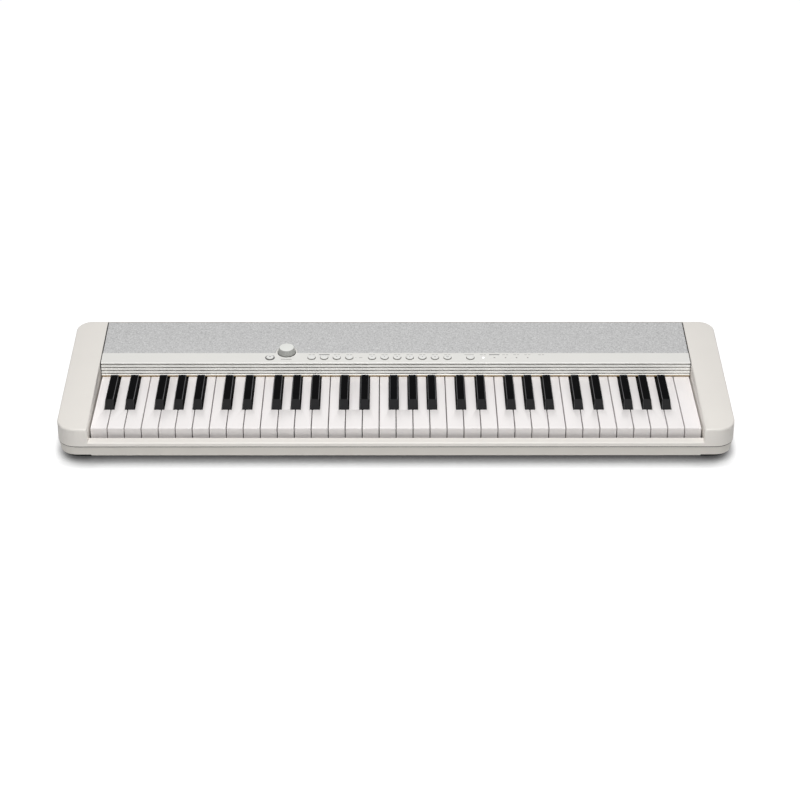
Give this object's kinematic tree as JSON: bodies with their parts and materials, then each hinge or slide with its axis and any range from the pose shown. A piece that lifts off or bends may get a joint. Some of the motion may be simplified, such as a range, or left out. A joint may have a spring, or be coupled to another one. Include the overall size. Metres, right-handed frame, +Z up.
{
  "type": "portable keyboard",
  "caption": "Portable electronic keyboard with sprung full-size keys, fabric speaker cover, a volume knob and round buttons.",
  "frame": {"origin": "on the table, under the middle of the keyboard seen from above", "axes": "+X along the keys from bass to treble, +Y away from the player, +Z up"},
  "size_m": [0.93, 0.279, 0.0727],
  "materials": {
    "case_plastic": "fine satin grain, moulded warm white",
    "lower_plastic": "fine satin grain, moulded",
    "panel_plastic": "satin, moulded",
    "white_key_plastic": "semi-gloss, moulded",
    "black_key_plastic": "fine matt grain, moulded",
    "grille_fabric": "fine woven speaker cloth bonded to a rigid sheet",
    "felt": "pressed felt",
    "knob_plastic": "satin, moulded",
    "chassis_plastic": "moulded, unpainted",
    "board_laminate": "glass laminate with a green resist",
    "speaker_steel": "pressed steel, black coating",
    "rubber": "moulded rubber"
  },
  "bodies": {
    "body": {"upper_case": "case_plastic", "lower_case": "lower_plastic", "key_chassis": "chassis_plastic", "control_panel": "panel_plastic", "key_felt": "felt", "speaker_grille": "grille_fabric", "speaker_left": "speaker_steel", "speaker_right": "speaker_steel", "main_board": "board_laminate", "foot_front_left": "rubber", "foot_front_right": "rubber", "foot_rear_left": "rubber", "foot_rear_right": "rubber"},
    "white_key_c2": {"white_key_c2": "white_key_plastic"},
    "white_key_d2": {"white_key_d2": "white_key_plastic"},
    "white_key_e2": {"white_key_e2": "white_key_plastic"},
    "white_key_f2": {"white_key_f2": "white_key_plastic"},
    "white_key_g2": {"white_key_g2": "white_key_plastic"},
    "white_key_a2": {"white_key_a2": "white_key_plastic"},
    "white_key_b2": {"white_key_b2": "white_key_plastic"},
    "white_key_c3": {"white_key_c3": "white_key_plastic"},
    "white_key_d3": {"white_key_d3": "white_key_plastic"},
    "white_key_e3": {"white_key_e3": "white_key_plastic"},
    "white_key_f3": {"white_key_f3": "white_key_plastic"},
    "white_key_g3": {"white_key_g3": "white_key_plastic"},
    "white_key_a3": {"white_key_a3": "white_key_plastic"},
    "white_key_b3": {"white_key_b3": "white_key_plastic"},
    "white_key_c4": {"white_key_c4": "white_key_plastic"},
    "white_key_d4": {"white_key_d4": "white_key_plastic"},
    "white_key_e4": {"white_key_e4": "white_key_plastic"},
    "white_key_f4": {"white_key_f4": "white_key_plastic"},
    "white_key_g4": {"white_key_g4": "white_key_plastic"},
    "white_key_a4": {"white_key_a4": "white_key_plastic"},
    "white_key_b4": {"white_key_b4": "white_key_plastic"},
    "white_key_c5": {"white_key_c5": "white_key_plastic"},
    "white_key_d5": {"white_key_d5": "white_key_plastic"},
    "white_key_e5": {"white_key_e5": "white_key_plastic"},
    "white_key_f5": {"white_key_f5": "white_key_plastic"},
    "white_key_g5": {"white_key_g5": "white_key_plastic"},
    "white_key_a5": {"white_key_a5": "white_key_plastic"},
    "white_key_b5": {"white_key_b5": "white_key_plastic"},
    "white_key_c6": {"white_key_c6": "white_key_plastic"},
    "white_key_d6": {"white_key_d6": "white_key_plastic"},
    "white_key_e6": {"white_key_e6": "white_key_plastic"},
    "white_key_f6": {"white_key_f6": "white_key_plastic"},
    "white_key_g6": {"white_key_g6": "white_key_plastic"},
    "white_key_a6": {"white_key_a6": "white_key_plastic"},
    "white_key_b6": {"white_key_b6": "white_key_plastic"},
    "white_key_c7": {"white_key_c7": "white_key_plastic"},
    "black_keys_octave_1": {"black_keys_octave_1": "black_key_plastic"},
    "black_keys_octave_2": {"black_keys_octave_2": "black_key_plastic"},
    "black_keys_octave_3": {"black_keys_octave_3": "black_key_plastic"},
    "black_keys_octave_4": {"black_keys_octave_4": "black_key_plastic"},
    "black_keys_octave_5": {"black_keys_octave_5": "black_key_plastic"},
    "volume_knob": {"volume_knob": "knob_plastic"},
    "power_button": {"power_button": "knob_plastic"},
    "tone_buttons": {"tone_buttons": "knob_plastic"},
    "function_buttons": {"function_buttons": "knob_plastic"},
    "mode_button": {"mode_button": "knob_plastic"},
    "battery_cover": {"battery_cover": "lower_plastic"}
  },
  "joints": [
    {"name": "white_key_c2_hinge", "type": "hinge", "parent": "body", "child": "white_key_c2", "pos_m": [-0.40827, 0.0731, 0.0222], "axis": [1, 0, 0], "range_deg": [0, 2.98], "stiffness_Nm_per_rad": 0.6, "springref_deg": -9.57},
    {"name": "white_key_d2_hinge", "type": "hinge", "parent": "body", "child": "white_key_d2", "pos_m": [-0.38494, 0.0731, 0.0222], "axis": [1, 0, 0], "range_deg": [0, 2.98], "stiffness_Nm_per_rad": 0.6, "springref_deg": -9.57},
    {"name": "white_key_e2_hinge", "type": "hinge", "parent": "body", "child": "white_key_e2", "pos_m": [-0.36162, 0.0731, 0.0222], "axis": [1, 0, 0], "range_deg": [0, 2.98], "stiffness_Nm_per_rad": 0.6, "springref_deg": -9.57},
    {"name": "white_key_f2_hinge", "type": "hinge", "parent": "body", "child": "white_key_f2", "pos_m": [-0.33829, 0.0731, 0.0222], "axis": [1, 0, 0], "range_deg": [0, 2.98], "stiffness_Nm_per_rad": 0.6, "springref_deg": -9.57},
    {"name": "white_key_g2_hinge", "type": "hinge", "parent": "body", "child": "white_key_g2", "pos_m": [-0.31495, 0.0731, 0.0222], "axis": [1, 0, 0], "range_deg": [0, 2.98], "stiffness_Nm_per_rad": 0.6, "springref_deg": -9.57},
    {"name": "white_key_a2_hinge", "type": "hinge", "parent": "body", "child": "white_key_a2", "pos_m": [-0.29163, 0.0731, 0.0222], "axis": [1, 0, 0], "range_deg": [0, 2.98], "stiffness_Nm_per_rad": 0.6, "springref_deg": -9.57},
    {"name": "white_key_b2_hinge", "type": "hinge", "parent": "body", "child": "white_key_b2", "pos_m": [-0.2683, 0.0731, 0.0222], "axis": [1, 0, 0], "range_deg": [0, 2.98], "stiffness_Nm_per_rad": 0.6, "springref_deg": -9.57},
    {"name": "white_key_c3_hinge", "type": "hinge", "parent": "body", "child": "white_key_c3", "pos_m": [-0.24496, 0.0731, 0.0222], "axis": [1, 0, 0], "range_deg": [0, 2.98], "stiffness_Nm_per_rad": 0.6, "springref_deg": -9.57},
    {"name": "white_key_d3_hinge", "type": "hinge", "parent": "body", "child": "white_key_d3", "pos_m": [-0.22163, 0.0731, 0.0222], "axis": [1, 0, 0], "range_deg": [0, 2.98], "stiffness_Nm_per_rad": 0.6, "springref_deg": -9.57},
    {"name": "white_key_e3_hinge", "type": "hinge", "parent": "body", "child": "white_key_e3", "pos_m": [-0.19831, 0.0731, 0.0222], "axis": [1, 0, 0], "range_deg": [0, 2.98], "stiffness_Nm_per_rad": 0.6, "springref_deg": -9.57},
    {"name": "white_key_f3_hinge", "type": "hinge", "parent": "body", "child": "white_key_f3", "pos_m": [-0.17497, 0.0731, 0.0222], "axis": [1, 0, 0], "range_deg": [0, 2.98], "stiffness_Nm_per_rad": 0.6, "springref_deg": -9.57},
    {"name": "white_key_g3_hinge", "type": "hinge", "parent": "body", "child": "white_key_g3", "pos_m": [-0.15165, 0.0731, 0.0222], "axis": [1, 0, 0], "range_deg": [0, 2.98], "stiffness_Nm_per_rad": 0.6, "springref_deg": -9.57},
    {"name": "white_key_a3_hinge", "type": "hinge", "parent": "body", "child": "white_key_a3", "pos_m": [-0.12832, 0.0731, 0.0222], "axis": [1, 0, 0], "range_deg": [0, 2.98], "stiffness_Nm_per_rad": 0.6, "springref_deg": -9.57},
    {"name": "white_key_b3_hinge", "type": "hinge", "parent": "body", "child": "white_key_b3", "pos_m": [-0.10498, 0.0731, 0.0222], "axis": [1, 0, 0], "range_deg": [0, 2.98], "stiffness_Nm_per_rad": 0.6, "springref_deg": -9.57},
    {"name": "white_key_c4_hinge", "type": "hinge", "parent": "body", "child": "white_key_c4", "pos_m": [-0.08166, 0.0731, 0.0222], "axis": [1, 0, 0], "range_deg": [0, 2.98], "stiffness_Nm_per_rad": 0.6, "springref_deg": -9.57},
    {"name": "white_key_d4_hinge", "type": "hinge", "parent": "body", "child": "white_key_d4", "pos_m": [-0.05833, 0.0731, 0.0222], "axis": [1, 0, 0], "range_deg": [0, 2.98], "stiffness_Nm_per_rad": 0.6, "springref_deg": -9.57},
    {"name": "white_key_e4_hinge", "type": "hinge", "parent": "body", "child": "white_key_e4", "pos_m": [-0.03499, 0.0731, 0.0222], "axis": [1, 0, 0], "range_deg": [0, 2.98], "stiffness_Nm_per_rad": 0.6, "springref_deg": -9.57},
    {"name": "white_key_f4_hinge", "type": "hinge", "parent": "body", "child": "white_key_f4", "pos_m": [-0.01167, 0.0731, 0.0222], "axis": [1, 0, 0], "range_deg": [0, 2.98], "stiffness_Nm_per_rad": 0.6, "springref_deg": -9.57},
    {"name": "white_key_g4_hinge", "type": "hinge", "parent": "body", "child": "white_key_g4", "pos_m": [0.01167, 0.0731, 0.0222], "axis": [1, 0, 0], "range_deg": [0, 2.98], "stiffness_Nm_per_rad": 0.6, "springref_deg": -9.57},
    {"name": "white_key_a4_hinge", "type": "hinge", "parent": "body", "child": "white_key_a4", "pos_m": [0.03499, 0.0731, 0.0222], "axis": [1, 0, 0], "range_deg": [0, 2.98], "stiffness_Nm_per_rad": 0.6, "springref_deg": -9.57},
    {"name": "white_key_b4_hinge", "type": "hinge", "parent": "body", "child": "white_key_b4", "pos_m": [0.05833, 0.0731, 0.0222], "axis": [1, 0, 0], "range_deg": [0, 2.98], "stiffness_Nm_per_rad": 0.6, "springref_deg": -9.57},
    {"name": "white_key_c5_hinge", "type": "hinge", "parent": "body", "child": "white_key_c5", "pos_m": [0.08166, 0.0731, 0.0222], "axis": [1, 0, 0], "range_deg": [0, 2.98], "stiffness_Nm_per_rad": 0.6, "springref_deg": -9.57},
    {"name": "white_key_d5_hinge", "type": "hinge", "parent": "body", "child": "white_key_d5", "pos_m": [0.10498, 0.0731, 0.0222], "axis": [1, 0, 0], "range_deg": [0, 2.98], "stiffness_Nm_per_rad": 0.6, "springref_deg": -9.57},
    {"name": "white_key_e5_hinge", "type": "hinge", "parent": "body", "child": "white_key_e5", "pos_m": [0.12832, 0.0731, 0.0222], "axis": [1, 0, 0], "range_deg": [0, 2.98], "stiffness_Nm_per_rad": 0.6, "springref_deg": -9.57},
    {"name": "white_key_f5_hinge", "type": "hinge", "parent": "body", "child": "white_key_f5", "pos_m": [0.15165, 0.0731, 0.0222], "axis": [1, 0, 0], "range_deg": [0, 2.98], "stiffness_Nm_per_rad": 0.6, "springref_deg": -9.57},
    {"name": "white_key_g5_hinge", "type": "hinge", "parent": "body", "child": "white_key_g5", "pos_m": [0.17497, 0.0731, 0.0222], "axis": [1, 0, 0], "range_deg": [0, 2.98], "stiffness_Nm_per_rad": 0.6, "springref_deg": -9.57},
    {"name": "white_key_a5_hinge", "type": "hinge", "parent": "body", "child": "white_key_a5", "pos_m": [0.19831, 0.0731, 0.0222], "axis": [1, 0, 0], "range_deg": [0, 2.98], "stiffness_Nm_per_rad": 0.6, "springref_deg": -9.57},
    {"name": "white_key_b5_hinge", "type": "hinge", "parent": "body", "child": "white_key_b5", "pos_m": [0.22163, 0.0731, 0.0222], "axis": [1, 0, 0], "range_deg": [0, 2.98], "stiffness_Nm_per_rad": 0.6, "springref_deg": -9.57},
    {"name": "white_key_c6_hinge", "type": "hinge", "parent": "body", "child": "white_key_c6", "pos_m": [0.24496, 0.0731, 0.0222], "axis": [1, 0, 0], "range_deg": [0, 2.98], "stiffness_Nm_per_rad": 0.6, "springref_deg": -9.57},
    {"name": "white_key_d6_hinge", "type": "hinge", "parent": "body", "child": "white_key_d6", "pos_m": [0.2683, 0.0731, 0.0222], "axis": [1, 0, 0], "range_deg": [0, 2.98], "stiffness_Nm_per_rad": 0.6, "springref_deg": -9.57},
    {"name": "white_key_e6_hinge", "type": "hinge", "parent": "body", "child": "white_key_e6", "pos_m": [0.29163, 0.0731, 0.0222], "axis": [1, 0, 0], "range_deg": [0, 2.98], "stiffness_Nm_per_rad": 0.6, "springref_deg": -9.57},
    {"name": "white_key_f6_hinge", "type": "hinge", "parent": "body", "child": "white_key_f6", "pos_m": [0.31495, 0.0731, 0.0222], "axis": [1, 0, 0], "range_deg": [0, 2.98], "stiffness_Nm_per_rad": 0.6, "springref_deg": -9.57},
    {"name": "white_key_g6_hinge", "type": "hinge", "parent": "body", "child": "white_key_g6", "pos_m": [0.33829, 0.0731, 0.0222], "axis": [1, 0, 0], "range_deg": [0, 2.98], "stiffness_Nm_per_rad": 0.6, "springref_deg": -9.57},
    {"name": "white_key_a6_hinge", "type": "hinge", "parent": "body", "child": "white_key_a6", "pos_m": [0.36162, 0.0731, 0.0222], "axis": [1, 0, 0], "range_deg": [0, 2.98], "stiffness_Nm_per_rad": 0.6, "springref_deg": -9.57},
    {"name": "white_key_b6_hinge", "type": "hinge", "parent": "body", "child": "white_key_b6", "pos_m": [0.38494, 0.0731, 0.0222], "axis": [1, 0, 0], "range_deg": [0, 2.98], "stiffness_Nm_per_rad": 0.6, "springref_deg": -9.57},
    {"name": "white_key_c7_hinge", "type": "hinge", "parent": "body", "child": "white_key_c7", "pos_m": [0.40827, 0.0731, 0.0222], "axis": [1, 0, 0], "range_deg": [0, 2.98], "stiffness_Nm_per_rad": 0.6, "springref_deg": -9.57},
    {"name": "black_keys_octave_1_hinge", "type": "hinge", "parent": "body", "child": "black_keys_octave_1", "pos_m": [-0.33579, 0.0731, 0.0222], "axis": [1, 0, 0], "range_deg": [0, 2.98], "stiffness_Nm_per_rad": 3, "springref_deg": -9.57},
    {"name": "black_keys_octave_2_hinge", "type": "hinge", "parent": "body", "child": "black_keys_octave_2", "pos_m": [-0.17248, 0.0731, 0.0222], "axis": [1, 0, 0], "range_deg": [0, 2.98], "stiffness_Nm_per_rad": 3, "springref_deg": -9.57},
    {"name": "black_keys_octave_3_hinge", "type": "hinge", "parent": "body", "child": "black_keys_octave_3", "pos_m": [-0.00917, 0.0731, 0.0222], "axis": [1, 0, 0], "range_deg": [0, 2.98], "stiffness_Nm_per_rad": 3, "springref_deg": -9.57},
    {"name": "black_keys_octave_4_hinge", "type": "hinge", "parent": "body", "child": "black_keys_octave_4", "pos_m": [0.15414, 0.0731, 0.0222], "axis": [1, 0, 0], "range_deg": [0, 2.98], "stiffness_Nm_per_rad": 3, "springref_deg": -9.57},
    {"name": "black_keys_octave_5_hinge", "type": "hinge", "parent": "body", "child": "black_keys_octave_5", "pos_m": [0.31745, 0.0731, 0.0222], "axis": [1, 0, 0], "range_deg": [0, 2.98], "stiffness_Nm_per_rad": 3, "springref_deg": -9.57},
    {"name": "volume_knob_turn", "type": "hinge", "parent": "body", "child": "volume_knob", "pos_m": [-0.1565, 0.056, 0.06359], "axis": [0, -0.0785, 0.9969], "range_deg": [-145, 145]},
    {"name": "power_button_press", "type": "slide", "parent": "body", "child": "power_button", "axis": [0, 0.0785, -0.9969], "range_m": [0, 0.0012], "stiffness_N_per_m": 600, "springref_m": -0.001},
    {"name": "tone_buttons_press", "type": "slide", "parent": "body", "child": "tone_buttons", "axis": [0, 0.0785, -0.9969], "range_m": [0, 0.0012], "stiffness_N_per_m": 1500, "springref_m": -0.001},
    {"name": "function_buttons_press", "type": "slide", "parent": "body", "child": "function_buttons", "axis": [0, 0.0785, -0.9969], "range_m": [0, 0.0012], "stiffness_N_per_m": 2500, "springref_m": -0.001},
    {"name": "mode_button_press", "type": "slide", "parent": "body", "child": "mode_button", "axis": [0, 0.0785, -0.9969], "range_m": [0, 0.0012], "stiffness_N_per_m": 600, "springref_m": -0.001},
    {"name": "battery_cover_slide", "type": "slide", "parent": "body", "child": "battery_cover", "axis": [0, 1, 0], "range_m": [0, 0.034]}
  ]
}
